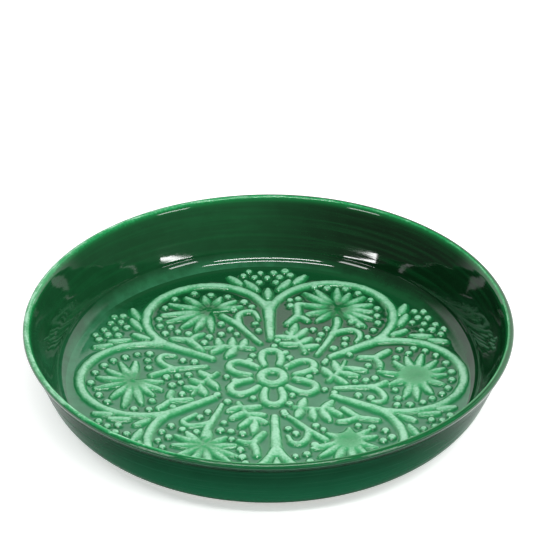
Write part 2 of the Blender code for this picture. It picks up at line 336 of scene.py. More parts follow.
BEADS = {
    "right": (
        (-2, 96), (5.4, 95.5), (-10.6, 93.6), (-18, 88.6), (-22.4, 83), (-25, 77), (-20.4, 74),
        (-24.4, 69.4), (-16.6, 67), (13, 93), (18.4, 89.5), (22.6, 84), (26, 79), (27.6, 72), (28, 65),
        (14, 64.7), (2.7, 54.6), (-9.4, 51.6), (4.8, 49.6), (5.6, 44), (21, 51.6), (18.4, 45),
        (-13, 28.4), (12.4, 27.4), (-5, 23), (0.6, 19.6), (-20, 42), (21.6, 66),
    ),
    "upper_right": (
        (-5, 94.6), (3, 94), (12, 91.4), (19, 85.6), (22.4, 79), (26, 73), (27, 65.5), (27.5, 58),
        (-23.4, 73.4), (-24, 65.4), (-26.6, 70), (4, 55), (4, 48.4), (-2, 50.6), (5, 43), (17.5, 51),
        (19.6, 46), (16, 40), (-13, 26.4), (18, 27), (-0.6, 20.4), (-14.6, 91), (-21, 88), (-4.6, 23.6),
        (18, 66), (12.6, 67),
    ),
    "upper_left": (
        (-6, 92.4), (6, 91.6), (13, 85.6), (20, 79), (25, 70), (26, 63.6), (-15, 87.6), (-23.4, 79.6),
        (-26.4, 73.5), (-22, 69.6), (-27.5, 66), (-21, 63.6), (-17, 59), (3, 58), (4.6, 51), (-2, 49.6),
        (-9, 50.6), (-14, 47.5), (5, 45), (19, 48.5), (17, 42), (1.7, 23), (-2.6, 19.7), (20.4, 28),
        (16, 66),
    ),
    "left": (
        (-2.5, 97), (7, 94.6), (13.6, 90), (18, 85), (21.4, 78.5), (23.6, 72), (24, 65.5), (17.6, 66.4),
        (10.6, 66), (-14, 92.6), (-20.6, 88), (-27.6, 74), (-28, 66), (-20.4, 64.4), (-26.4, 53.4),
        (-6, 53.6), (1.6, 56.6), (-4, 49), (2.3, 50.5), (3.6, 44.7), (-15.6, 29.6), (1, 24.5), (-3.3, 20),
        (17, 47.6), (15.6, 41.4), (-14.6, 48.4),
    ),
    "lower_left": (
        (25, 80), (21.5, 74.6), (27, 72), (25.4, 65), (18.6, 65), (11, 63.6), (-21, 72), (-17, 66.6),
        (-8.4, 60.6), (0.6, 56.4), (-4.6, 54.6), (-11, 53.4), (2.3, 49.6), (14.6, 44.7), (16, 51),
        (10, 31.6), (18, 29), (-22.5, 27.6), (-0.4, 22.4), (20, 84), (-13, 91), (-22, 82), (-25, 76),
        (7, 92),
    ),
    "lower_right": (
        (-24, 80), (-18.6, 80), (-24.4, 73), (-20, 67), (-14.6, 62), (3, 55.6), (4.4, 50.4), (14, 65),
        (28, 68), (18, 45), (17, 51), (12, 31), (0, 20), (5.4, 26), (-12, 89), (12, 89), (20, 83),
        (24, 76), (22, 69.6), (-20, 30),
    ),
}

# Between two lobes: the fan's leaves as (tip, root) and the beads round them, along the spoke
FAN_LEAVES = (
    ((0, 85), (0, 76.4)), ((-12, 93.4), (-6, 84.8)), ((12, 93.4), (6, 84.8)),
    ((-20.6, 98), (-14.8, 91)), ((20.6, 98), (14.8, 91)),
)
FAN_BEADS = (
    (-4.6, 92.4), (4.6, 92.4), (0, 97), (-7, 97.6), (7, 97.6), (-13, 99.4), (13, 99.4),
    (-3.6, 102), (3.8, 102), (-10, 103.4), (10, 103.4),
)

# Each lobe's heading in degrees, how far outwards its rib reaches and how far its widest part
# sits to the right
LOBES = {
    "right": (0, 102.2, 1.4),
    "upper_right": (60, 99.8, 1.2),
    "upper_left": (120, 98.6, -0.8),
    "left": (180, 102.8, -0.6),
    "lower_left": (240, 100.0, 0.0),
    "lower_right": (300, 100.0, 0.0),
}


def from_lobe(points, heading):
    """Points written for a lobe, as x and y on the dish."""
    points = np.atleast_2d(np.array(points, float))
    turn = math.radians(heading) + PATTERN_TURN
    outwards = np.array([math.cos(turn), math.sin(turn)])
    rightwards = np.array([math.sin(turn), -math.cos(turn)])
    return np.array([PATTERN_X, 0]) + points[:, :1] * rightwards + points[:, 1:] * outwards


def curved(points, steps=5):
    """A smooth line through points."""
    points = np.array(points, float)
    if len(points) < 3:
        return points
    knots = np.concatenate([[2 * points[0] - points[1]], points, [2 * points[-1] - points[-2]]])
    t = np.linspace(0, 1, steps, endpoint=False)[:, None]
    parts = []
    for a, b, c, d in zip(knots, knots[1:], knots[2:], knots[3:]):
        square = 2 * a - 5 * b + 4 * c - d
        cube = 3 * b - a - 3 * c + d
        parts.append((2 * b + t * (c - a) + t**2 * square + t**3 * cube) / 2)
    return np.concatenate([*parts, points[-1:]])


def widths_of(kind, count, size):
    """Half-widths along a stroke, from its start to its end."""
    s = np.linspace(0, 1, count)
    if kind == "leaf":
        return size * (0.42 + 0.58 * np.sin(math.pi * np.clip(s * 0.86 + 0.07, 0, 1)) ** 0.8)
    if kind == "ray":
        return size * (0.62 + 0.5 * np.sin(math.pi * np.clip(s * 0.8, 0, 1)) ** 1.5 - 0.28 * s**4)
    if kind == "trunk":
        return size * (1.35 - 0.55 * s**0.7)
    if kind == "tail":
        return size * (1 - 0.35 * s**2)
    return size * (1 - 0.12 * np.abs(2 * s - 1) ** 6)


class Trail:
    """One stroke of slip: its line, its half-width along it and its height."""

    def __init__(self, points, kind, size, height, heading):
        line = from_lobe(curved(points) if kind in ("line", "tail", "trunk") else straight(points), heading)
        self.line = line
        self.half = widths_of(kind, len(line), size)
        self.height = height
        self.reach = 2.2 * self.half.max() + 0.6


def straight(points, steps=7):
    a, b = np.array(points[0], float), np.array(points[-1], float)
    return a + (b - a) * np.linspace(0, 1, steps)[:, None]


def lobe_rib(reach, sideways):
    """The rib round a lobe, from one spoke's outer end to the other's."""
    sweep = np.radians(np.linspace(-103, 103, 27))
    centre = 66.6
    across = 33.6 * np.sin(sweep) * (1 + 0.02 * np.cos(sweep)) + sideways * (1 + np.cos(sweep)) / 2
    outwards = centre + np.where(np.cos(sweep) > 0, reach - centre, 33.4) * np.cos(sweep)
    return np.stack([across, outwards], axis=-1)


def all_trails():
    trails, beads, pools = [], [], []
    for name, (heading, reach, sideways) in LOBES.items():
        trails.append(Trail(lobe_rib(reach, sideways), "line", 2.75, 1.0, heading))
        centre, dome, tips = DAISIES[name]
        for tip in tips:
            trails.append(Trail([centre, tip], "ray", 2.55, 0.9, heading))
        pools.append((from_lobe(centre, heading)[0], dome, HEARTS[name]))
        trails.append(Trail(STEMS[name], "tail", 2.4, 0.95, heading))
        trails.append(Trail(CURLS[name], "tail", 2.4, 0.95, heading))
        fork, arm = SPRIGS[name]
        trails.append(Trail(fork, "line", 2.5, 0.95, heading))
        trails.append(Trail(arm, "line", 2.3, 0.9, heading))
        vein, leaves = SPRAYS[name]
        trails.append(Trail(vein, "tail", 1.9, 0.85, heading))
        for tip, root in leaves:
            trails.append(Trail([tip, root], "leaf", 2.85, 0.95, heading))
        for place in BEADS[name]:
            beads.append(from_lobe(place, heading)[0])
        # The spoke, the rosette's loop and the fan of leaves to the left of this lobe
        spoke = heading + 30
        trails.append(Trail([(0, 70.5), (0, 60), (0, 48), (0, 37)], "trunk", 2.9, 0.98, spoke))
        loop = ((-4.2, 11.6), (-5.3, 18), (-4.2, 23.4), (0, 25.6), (4.2, 23.4), (5.3, 18), (4.2, 11.6))
        trails.append(Trail(loop, "line", 2.5, 1.0, spoke))
        for tip, root in FAN_LEAVES:
            trails.append(Trail([tip, root], "leaf", 2.75, 0.95, spoke))
        for place in FAN_BEADS:
            beads.append(from_lobe(place, spoke)[0])
    ring = [(6.1 * math.sin(a), 6.1 * math.cos(a)) for a in np.linspace(0, 2 * math.pi, 25)]
    trails.append(Trail(ring, "line", 3.0, 1.05, 0))
    return trails, np.array(beads), pools


TRAILS, BEAD_PLACES, POOLS = all_trails()
BEAD_SIZES = 2.3 + 0.16 * SMALL_RANDOM.standard_normal(len(BEAD_PLACES)).clip(-1.5, 1.5)
BEAD_TOPS = 0.98 + 0.05 * SMALL_RANDOM.standard_normal(len(BEAD_PLACES)).clip(-1.5, 1.5)


def rounded(q):
    """A trailed ridge's cross-section with glaze filling its foot: 1 on top, 0 on the ground."""
    s = 1 - q**2
    raised = np.sqrt(0.5 * (s + np.sqrt(s**2 + 0.05)))
    return np.clip((raised - 0.07) / 0.935, 0, None)


def distance_along(x, y, line, half):
    """Each point's nearest distance to a line: as a share of its half-width, and in mm past its edge."""
    share = np.full(len(x), 9.0)
    past = np.full(len(x), 99.0)
    for i in range(len(line) - 1):
        a, b = line[i], line[i + 1]
        step = b - a
        t = np.clip(((x - a[0]) * step[0] + (y - a[1]) * step[1]) / max(step @ step, 1e-9), 0, 1)
        away = np.hypot(x - a[0] - t * step[0], y - a[1] - t * step[1])
        width = half[i] + (half[i + 1] - half[i]) * t
        share = np.minimum(share, away / width)
        past = np.minimum(past, away - width)
    return share, past


def around(x, y, place, reach):
    """Which points are near a place, and how far each of them is from it."""
    near = np.flatnonzero((np.abs(x - place[0]) < reach) & (np.abs(y - place[1]) < reach))
    return near, np.hypot(x[near] - place[0], y[near] - place[1])


def relief(x, y):
    """The floor's rise above its ground, how bare, edged or pooled its glaze is, and moats round beads."""
    x = x + 0.16 * ripple(x, y, 7.5, 1)
    y = y + 0.16 * ripple(x, y, 7.5, 2)
    blend = 5
    powers = np.zeros(len(x))
    bead_pale_and_glint = np.zeros(len(x))
    moat = np.zeros(len(x))
    nearest = np.full(len(x), 99.0)
    for trail in TRAILS:
        low, high = trail.line.min(0) - trail.reach, trail.line.max(0) + trail.reach
        near = np.flatnonzero((x > low[0]) & (x < high[0]) & (y > low[1]) & (y < high[1]))
        if len(near) == 0:
            continue
        share, past = distance_along(x[near], y[near], trail.line, trail.half)
        powers[near] += (trail.height * rounded(share)) ** blend
        nearest[near] = np.minimum(nearest[near], past)
    for place, size, top in zip(BEAD_PLACES, BEAD_SIZES, BEAD_TOPS):
        near, away = around(x, y, place, 5)
        dome = top * rounded(away / size) * (1 - 0.1 * np.exp(-((away / 0.8) ** 2)))
        powers[near] += np.clip(dome, 0, None) ** blend
        # A pale ring and centre on each bead: partly the glaze breaking thin round its dimple, partly a
        # painted highlight.
        ringed = np.exp(-(((away / size - 0.52) / 0.2) ** 2)) + 0.5 * np.exp(-(((away / size) / 0.5) ** 2))
        bead_pale_and_glint[near] = np.maximum(bead_pale_and_glint[near], np.clip(ringed, 0, 1))
        moat[near] = np.maximum(moat[near], np.exp(-(((away - size - 0.1) / 0.5) ** 2)))
        nearest[near] = np.minimum(nearest[near], away - size)
    rise = powers ** (1 / blend)
    pool = np.zeros(len(x))
    for place, dome, heart in POOLS:
        near, away = around(x, y, place, 18)
        if dome > 6:
            body = eased((dome + 2.6 - away) / 3.6)
            rise[near] = rise[near] * (1 - body) + (0.94 - 0.06 * np.exp(-((away / dome) ** 2))) * body
            nearest[near] = np.minimum(nearest[near], away - dome - 0.6)
            pool[near] = np.maximum(pool[near], heart * np.exp(-((away / (1.05 * dome)) ** 4)))
        else:
            rise[near] = rise[near] * (1 - 0.3 * np.exp(-((away / 4.6) ** 2)))
            pool[near] = np.maximum(pool[near], heart * np.exp(-((away / 7.0) ** 3)))
    rise = rise * (1 + 0.05 * ripple(x, y, 11, 3))
    bare = np.maximum(np.clip((rise - 0.16) / 0.8, 0, 1), 1.12 * bead_pale_and_glint)
    edge = np.exp(-((nearest - 0.25) / 0.55) ** 2)
    return rise, bare, edge, pool, moat


def floor_height(x, y):
    """The glazed floor's height, with what colours its glaze. Its glaze is darker towards the back as painted
    shade.
    """
    radius = np.hypot(x, y)
    rise, bare, edge, pool, moat = relief(x, y)
    stay = eased((FLOOR_EDGE - radius) / 1.6)
    ground = floor_level(radius) + 0.03 * stay * ripple(x, y, 26, 4)
    # thick: painted shade darkening the floor towards the back and a little to the right, with the glaze
    # really pooled deeper in the moats round the beads.
    thick = np.maximum(eased((y + 0.3 * x - 6) / 60), 0.75 * moat * (1 - bare))
    return ground + (RELIEF - 0.3) * rise * stay, bare * stay, edge * stay * (1 - 0.8 * moat), pool, thick


# Mesh making


def mesh_of(name, points, faces, corner_normals=None, values=None, chart=None):
    """A mesh from points in millimetres and arrays of same-sided faces, all smooth."""
    corners = np.concatenate([f.reshape(-1) for f in faces]).astype(np.int32)
    sizes = np.concatenate([np.full(len(f), f.shape[1]) for f in faces])
    starts = np.concatenate([[0], np.cumsum(sizes)[:-1]]).astype(np.int32)
    mesh = bpy.data.meshes.new(name)
    mesh.vertices.add(len(points))
    mesh.vertices.foreach_set("co", (points * MM).astype(np.float32).ravel())
    mesh.loops.add(len(corners))
    mesh.loops.foreach_set("vertex_index", corners)
    mesh.polygons.add(len(sizes))
    mesh.polygons.foreach_set("loop_start", starts)
    mesh.polygons.foreach_set("use_smooth", np.ones(len(sizes), bool))
    mesh.update(calc_edges=True)
    if chart is not None:
        layer = mesh.uv_layers.new(name="OFBake")
        layer.data.foreach_set("uv", chart.astype(np.float32).ravel())
    for label, value in (values or {}).items():
        attribute = mesh.attributes.new(label, "FLOAT", "POINT")
        attribute.data.foreach_set("value", value.astype(np.float32))
    if corner_normals is not None:
        mesh.normals_split_custom_set([tuple(n) for n in corner_normals.tolist()])
    return mesh


def add_piece(name, mesh, finish, nodes):
    piece = bpy.data.objects.new(name, mesh)
    bpy.context.scene.collection.objects.link(piece)
    mesh.materials.append(finish)
    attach(piece, "root")
    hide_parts(*nodes)
    return piece


def floor_normals(x, y):
    step = 0.12
    east, west = floor_height(x + step, y)[0], floor_height(x - step, y)[0]
    north, south = floor_height(x, y + step)[0], floor_height(x, y - step)[0]
    slope = np.stack([(west - east) / (2 * step), (south - north) / (2 * step), np.ones(len(x))], axis=-1)
    return slope / np.linalg.norm(slope, axis=1)[:, None]


def centre_shift(radius):
    """The rings follow the pattern's centre over the flowers and the dish's centre at the floor's edge."""
    return PATTERN_X * (1 - eased((radius - FLOWERS_OUT) / (FLOOR_EDGE - FLOWERS_OUT)))


def floor_piece(name, heading, first, last, sectors):
    """A closed slab of the glazed floor between two rings, across one sector or all of them."""
    rings, starts, points = [], [], []
    total = 0
    spread = 60 * sectors
    for k in range(first, last + 1):
        count = k * sectors
        if sectors == 6:
            angles = np.linspace(0, 2 * math.pi, count, endpoint=False) if k else np.zeros(1)
        else:
            angles = np.radians(np.linspace(-spread / 2, spread / 2, count + 1))
        angles = angles + math.radians(heading) + PATTERN_TURN
        radius = k * (FLOOR_EDGE / LAST_RING)
        shift = centre_shift(radius)
        points.append(np.stack([shift + radius * np.cos(angles), radius * np.sin(angles)], axis=-1))
        starts.append(total)
        rings.append(len(angles))
        total += len(angles)
    plan = np.concatenate(points)
    triangles = []
    for n in range(len(rings) - 1):
        k, inner, outer = first + n, starts[n], starts[n + 1]
        side = np.arange(k * sectors)
        part, j = (side // max(k, 1), side % max(k, 1)) if sectors == 6 else (0 * side, side)
        wrap_in, wrap_out = (max(rings[n], 1), rings[n + 1]) if sectors == 6 else (10**9, 10**9)
        a = inner + (part * k + j) % wrap_in
        b = inner + (part * k + j + 1) % wrap_in
        c = outer + (part * (k + 1) + j) % wrap_out
        d = outer + (part * (k + 1) + j + 1) % wrap_out
        if k:
            triangles.append(np.stack([a, d, b], axis=-1))
            triangles.append(np.stack([a, c, d], axis=-1))
        parts = np.arange(sectors)
        last_in = inner + (parts * k + k) % wrap_in if k else inner + 0 * parts
        last_out = outer + (parts * (k + 1) + k) % wrap_out
        after_out = outer + (parts * (k + 1) + k + 1) % wrap_out
        triangles.append(np.stack([last_in, last_out, after_out], axis=-1))
    top = np.concatenate(triangles)
    x, y = plan[:, 0], plan[:, 1]
    height, bare, edge, pool, thick = floor_height(x, y)
    if sectors == 6:
        border = starts[-1] + np.arange(rings[-1])
    else:
        left = np.array([s + r - 1 for s, r in zip(starts, rings)])
        right = np.array(starts)
        outer = starts[-1] + np.arange(rings[-1])
        inner = np.arange(rings[0])
        border = np.concatenate([right[:-1], outer[:-1], left[::-1][:-1], inner[::-1][:-1]])
    rest = len(plan)
    lower = rest + np.arange(len(border))
    underside = FLOOR - COAT + 0.05
    points = np.concatenate([
        np.stack([x, y, height], axis=-1),
        np.stack([x[border], y[border], np.full(len(border), underside)], axis=-1),
    ])
    after = np.roll(np.arange(len(border)), -1)
    sides = np.stack([border, lower, lower[after], border[after]], axis=-1)
    bottom = lower[::-1][None, :]
    normals = floor_normals(x, y)
    edge_way = points[border[after]] - points[border]
    out = np.stack([edge_way[:, 1], -edge_way[:, 0], 0 * edge_way[:, 0]], axis=-1)
    out /= np.linalg.norm(out, axis=1)[:, None] + 1e-12
    corner_normals = np.concatenate([
        normals[top.reshape(-1)],
        np.repeat(out, 4, axis=0),
        np.tile([0.0, 0.0, -1.0], (len(border), 1)),
    ])
    low, size = plan.min(0), (plan.max(0) - plan.min(0)).max()
    flat = (plan - low) / size
    strip = 0.01 + 0.98 * np.repeat(np.linspace(0, 1, len(border)), 4)
    chart = np.concatenate([
        0.01 + flat[top.reshape(-1)] * [0.98, 0.92],
        np.stack([strip, np.tile([0.96, 0.95, 0.95, 0.96], len(border))], axis=-1),
        0.01 + flat[border][::-1] * [0.03, 0.02] + [0, 0.965],
    ])
    fill = np.zeros(len(border))
    values = {"bare": bare, "edge": edge, "pool": pool, "thick": thick}
    values = {label: np.append(value, fill) for label, value in values.items()}
    return mesh_of(name, points, [top, sides, bottom], corner_normals, values, chart)


LAST_RING = int(round(FLOOR_EDGE / FINE))
MIDDLE_RING = int(round(MIDDLE_EDGE / FINE))


def crisp(mesh):
    """Corners over 50 degrees keep a sharp edge; everything else shades smoothly."""
    mesh.set_sharp_from_angle(angle=math.radians(50))
    return mesh


def spun(profile, columns, shape=None):
    """The points of a line turned round the dish, moved by shape, which takes angles and lengths along."""
    angles, lengths = np.meshgrid(np.linspace(0, 2 * math.pi, columns, endpoint=False), running(profile))
    radius = np.repeat(profile[:, :1], columns, axis=1)
    height = np.repeat(profile[:, 1:], columns, axis=1)
    if shape is not None:
        out, up = shape(angles, lengths)
        radius, height = radius + out, height + up
    return np.stack([radius * np.cos(angles), radius * np.sin(angles), height], axis=-1).reshape(-1, 3)


def rings_of_quads(rows, columns, bands):
    """Faces between each ring of points and the next, with the ring and the column that each starts at."""
    i, j = np.meshgrid(np.arange(bands), np.arange(columns), indexing="ij")
    below, beside = (i + 1) % rows, (j + 1) % columns
    corners = [i * columns + j, below * columns + j, below * columns + beside, i * columns + beside]
    return np.stack(corners, axis=-1).reshape(-1, 4), i, j


def turned(name, profile, columns, values=None, shape=None):
    """A closed profile turned round the dish."""
    rows = len(profile)
    points = spun(profile, columns, shape)
    quads, i, j = rings_of_quads(rows, columns, rows)
    lengths = running(profile)
    share = np.append(lengths, lengths[-1] + np.hypot(*(profile[0] - profile[-1]))) / lengths[-1] * 0.97
    share = share / share[-1]
    quarter = (4 * j) // columns
    left, right = 4 * j / columns - quarter, 4 * (j + 1) / columns - quarter
    start, end = (quarter + 0.02 + 0.96 * share[i]) / 4, (quarter + 0.02 + 0.96 * share[i + 1]) / 4
    chart = np.stack([left, start, left, end, right, end, right, start], axis=-1)
    spread = {}
    for label, value in (values or {}).items():
        spread[label] = np.broadcast_to(value.reshape(rows, -1), (rows, columns)).reshape(-1)
    return crisp(mesh_of(name, points, [quads], None, spread, chart.reshape(-1)))


def capped(name, top, bottom, columns):
    """A solid of revolution: a line out from the axis over the top and one back to it underneath."""
    profile = np.concatenate([top[1:], bottom[:-1]])
    rows = len(profile)
    points = np.concatenate([spun(profile, columns), [[0, 0, top[0, 1]], [0, 0, bottom[-1, 1]]]])
    quads = rings_of_quads(rows, columns, rows - 1)[0]
    ring = np.arange(columns)
    after = (ring + 1) % columns
    upper = np.stack([np.full(columns, rows * columns), ring, after], axis=-1)
    base = (rows - 1) * columns
    lower = np.stack([np.full(columns, rows * columns + 1), base + after, base + ring], axis=-1)
    soaked = np.clip((points[:, 2] - 30) / 4, 0, 1)
    return crisp(mesh_of(name, points, [quads, upper, lower], None, {"soaked": soaked}))


# Shader building


def new_group(name, takes, gives):
    group = bpy.data.node_groups.new(name, "ShaderNodeTree")
    for label, kind, value in takes:
        socket = group.interface.new_socket(label, in_out="INPUT", socket_type=kind)
        if value is not None:
            socket.default_value = value
    for label, kind in gives:
        group.interface.new_socket(label, in_out="OUTPUT", socket_type=kind)
    return group, group.nodes.new("NodeGroupInput"), group.nodes.new("NodeGroupOutput")


def put(tree, kind, inputs=None, **settings):
    """A node with its settings, its inputs set to values or linked to sockets."""
    node = tree.nodes.new(kind)
    for key, value in settings.items():
        setattr(node, key, value)
    for key, value in (inputs or {}).items():
        if isinstance(value, bpy.types.NodeSocket):
            tree.links.new(value, node.inputs[key])
        else:
            node.inputs[key].default_value = value
    return node


def use(tree, group, **values):
    """A node group placed with its own values."""
    return put(tree, "ShaderNodeGroup", values, node_tree=group)


def maths(tree, operation, a, b=0.0, clamp=False):
    return put(tree, "ShaderNodeMath", {0: a, 1: b}, operation=operation, use_clamp=clamp).outputs[0]


def times(tree, a, b):
    return maths(tree, "MULTIPLY", a, b)


def plus(tree, a, b):
    return maths(tree, "ADD", a, b)


def minus(tree, a, b):
    return maths(tree, "SUBTRACT", a, b)


def mixed(tree, share, a, b):
    return put(tree, "ShaderNodeMix", {0: share, 6: a, 7: b}, data_type="RGBA").outputs[2]


def ramped(tree, value, low, high, to_low=0.0, to_high=1.0):
    given = {"Value": value, "From Min": low, "From Max": high, "To Min": to_low, "To Max": to_high}
    return put(tree, "ShaderNodeMapRange", given, interpolation_type="SMOOTHSTEP").outputs[0]


def colour(red, green, blue):
    return (red, green, blue, 1.0)


FLOAT, COLOUR = "NodeSocketFloat", "NodeSocketColor"


def make_mottle_group():
    """Cloudy unevenness at a size in millimetres."""
    group, takes, gives = new_group(
        "cloudy mottle",
        [("Size", FLOAT, 6.0), ("Low", FLOAT, 0.35), ("High", FLOAT, 0.65)],
        [("Mask", FLOAT)],
    )
    place = put(group, "ShaderNodeTexCoord").outputs["Object"]
    scale = maths(group, "DIVIDE", 1000.0, takes.outputs["Size"])
    kind = {"Vector": place, "Scale": scale, "Detail": 4.0, "Roughness": 0.6}
    cloud = put(group, "ShaderNodeTexNoise", kind)
    mask = ramped(group, cloud.outputs["Fac"], takes.outputs["Low"], takes.outputs["High"])
    group.links.new(mask, gives.inputs["Mask"])
    return group


def make_streak_group():
    """Brush or throwing streaks running round the dish, at a spacing in millimetres."""
    group, takes, gives = new_group(
        "round streaks",
        [("Spacing", FLOAT, 2.0), ("Length", FLOAT, 40.0), ("Slant", FLOAT, 0.0), ("Low", FLOAT, 0.4),
         ("High", FLOAT, 0.7)],
        [("Mask", FLOAT), ("Height", FLOAT)],
    )
    place = put(group, "ShaderNodeTexCoord").outputs["Object"]
    axes = put(group, "ShaderNodeSeparateXYZ", {0: place}).outputs
    across = put(group, "ShaderNodeCombineXYZ", {0: axes[0], 1: axes[1]}).outputs[0]
    radius = put(group, "ShaderNodeVectorMath", {0: across}, operation="LENGTH").outputs["Value"]
    stretch = maths(group, "DIVIDE", takes.outputs["Spacing"], takes.outputs["Length"])
    slant = times(group, axes[0], takes.outputs["Slant"])
    up = plus(group, plus(group, axes[2], times(group, radius, 0.6)), slant)
    flat = put(group, "ShaderNodeCombineXYZ", {
        0: times(group, axes[0], stretch),
        1: times(group, axes[1], stretch),
        2: up,
    })
    scale = maths(group, "DIVIDE", 1000.0, takes.outputs["Spacing"])
    kind = {"Vector": flat.outputs[0], "Scale": scale, "Detail": 3.0, "Roughness": 0.55}
    lines = put(group, "ShaderNodeTexNoise", kind)
    mask = ramped(group, lines.outputs["Fac"], takes.outputs["Low"], takes.outputs["High"])
    group.links.new(mask, gives.inputs["Mask"])
    group.links.new(lines.outputs["Fac"], gives.inputs["Height"])
    return group


def make_pit_group():
    """Scattered pinholes: their spacing and width in millimetres, and the share of places with one."""
    group, takes, gives = new_group(
        "scattered pits",
        [("Spacing", FLOAT, 4.0), ("Width", FLOAT, 0.3), ("Share", FLOAT, 0.3)],
        [("Mask", FLOAT)],
    )
    place = put(group, "ShaderNodeTexCoord").outputs["Object"]
    scale = maths(group, "DIVIDE", 1000.0, takes.outputs["Spacing"])
    cells = put(group, "ShaderNodeTexVoronoi", {"Vector": place, "Scale": scale, "Randomness": 1.0})
    width = maths(group, "DIVIDE", takes.outputs["Width"], takes.outputs["Spacing"])
    dot = ramped(group, cells.outputs["Distance"], times(group, width, 0.6), width, 1.0, 0.0)
    lot = put(group, "ShaderNodeSeparateColor", {0: cells.outputs["Color"]}).outputs[0]
    chosen = maths(group, "LESS_THAN", lot, takes.outputs["Share"])
    group.links.new(times(group, dot, chosen), gives.inputs["Mask"])
    return group


def make_glaze_group():
    """A glaze's colour by how thickly it lies: pale where it runs off an edge, deep where it pools. Thick
    also brings painted shade from the pieces.
    """
    group, takes, gives = new_group(
        "glaze by thickness",
        [("Bare", FLOAT, 0.0), ("Edge", FLOAT, 0.0), ("Pool", FLOAT, 0.0), ("Thick", FLOAT, 0.0),
         ("Mottle", FLOAT, 0.5), ("Ground", COLOUR, colour(0.02, 0.14, 0.05)),
         ("Slope", COLOUR, colour(0.03, 0.3, 0.1)), ("Thin", COLOUR, colour(0.2, 0.55, 0.28)),
         ("Rich", COLOUR, colour(0.01, 0.2, 0.03)), ("Deep", COLOUR, colour(0.002, 0.06, 0.015))],
        [("Colour", COLOUR)],
    )
    cloud = use(group, MOTTLE, Size=9.0, Low=0.3, High=0.7)
    fine = use(group, MOTTLE, Size=1.4, Low=0.25, High=0.75)
    clouded = times(group, cloud.outputs[0], takes.outputs["Mottle"])
    # Thick darkens the ground: real pooling, and painted shade where a piece gives it.
    shade = maths(group, "ADD", clouded, takes.outputs["Thick"], clamp=True)
    ground = mixed(group, shade, takes.outputs["Ground"], takes.outputs["Deep"])
    edged = mixed(group, times(group, takes.outputs["Edge"], 0.75), ground, takes.outputs["Rich"])
    ragged = plus(group, takes.outputs["Bare"], times(group, minus(group, fine.outputs[0], 0.5), 0.3))
    thinned = times(group, ragged, minus(group, 1.0, times(group, takes.outputs["Pool"], 0.96)))
    sloped = mixed(group, ramped(group, thinned, 0.08, 0.62), edged, takes.outputs["Slope"])
    drift = times(group, minus(group, cloud.outputs[0], 0.5), 0.22)
    crest = ramped(group, plus(group, thinned, drift), 0.55, 1.12)
    broken = mixed(group, crest, sloped, takes.outputs["Thin"])
    uneven = plus(group, 0.35, times(group, cloud.outputs[0], 0.4))
    pooled = times(group, takes.outputs["Pool"], uneven)
    group.links.new(mixed(group, pooled, broken, takes.outputs["Rich"]), gives.inputs["Colour"])
    return group


def make_clay_group():
    """Fired clay: sandy grain, fine grog and the colour's drift."""
    group, takes, gives = new_group(
        "fired clay",
        [("Body", COLOUR, colour(0.55, 0.33, 0.22)), ("Light", COLOUR, colour(0.75, 0.55, 0.42)),
         ("Dark", COLOUR, colour(0.3, 0.16, 0.1)), ("Grain", FLOAT, 0.6)],
        [("Colour", COLOUR), ("Height", FLOAT), ("Roughness", FLOAT)],
    )
    place = put(group, "ShaderNodeTexCoord").outputs["Object"]
    scale = maths(group, "DIVIDE", 1000.0, takes.outputs["Grain"])
    kind = {"Vector": place, "Scale": scale, "Detail": 6.0, "Roughness": 0.7}
    sand = put(group, "ShaderNodeTexNoise", kind)
    drift = put(group, "ShaderNodeTexNoise", {"Vector": place, "Scale": 45.0, "Detail": 3.0})
    grog = put(group, "ShaderNodeTexVoronoi", {"Vector": place, "Scale": 700.0})
    speck = ramped(group, grog.outputs["Distance"], 0.12, 0.3, 1.0, 0.0)
    drifted = ramped(group, drift.outputs["Fac"], 0.35, 0.65)
    base = mixed(group, drifted, takes.outputs["Body"], takes.outputs["Light"])
    grains = sand.outputs["Fac"]
    sandy = mixed(group, ramped(group, grains, 0.5, 0.8, 0.0, 0.5), base, takes.outputs["Dark"])
    specked = mixed(group, times(group, speck, 0.35), sandy, takes.outputs["Dark"])
    group.links.new(specked, gives.inputs["Colour"])
    group.links.new(minus(group, grains, times(group, speck, 0.3)), gives.inputs["Height"])
    group.links.new(ramped(group, grains, 0.2, 0.8, 0.7, 0.95), gives.inputs["Roughness"])
    return group


MOTTLE = make_mottle_group()
STREAKS = make_streak_group()
PITS = make_pit_group()
GLAZE = make_glaze_group()
CLAY = make_clay_group()


def new_material(name):
    material = bpy.data.materials.new(name)
    material.use_nodes = True
    tree = material.node_tree
    return material, tree, tree.nodes["Principled BSDF"]


def attribute(tree, name):
    return put(tree, "ShaderNodeAttribute", attribute_name=name).outputs["Fac"]


def bump(tree, shader, height, strength, depth):
    """Raises the surface by a height field, depth in millimetres."""
    node = put(tree, "ShaderNodeBump", {"Height": height, "Strength": strength, "Distance": depth * MM})
    tree.links.new(node.outputs["Normal"], shader.inputs["Normal"])


GROUND_GREEN = colour(0.032, 0.185, 0.085)
THIN_MINT = colour(0.27, 0.57, 0.37)
SLOPE_GREEN = colour(0.05, 0.31, 0.12)
RICH_GREEN = colour(0.008, 0.2, 0.05)
DEEP_GREEN = colour(0.004, 0.062, 0.018)


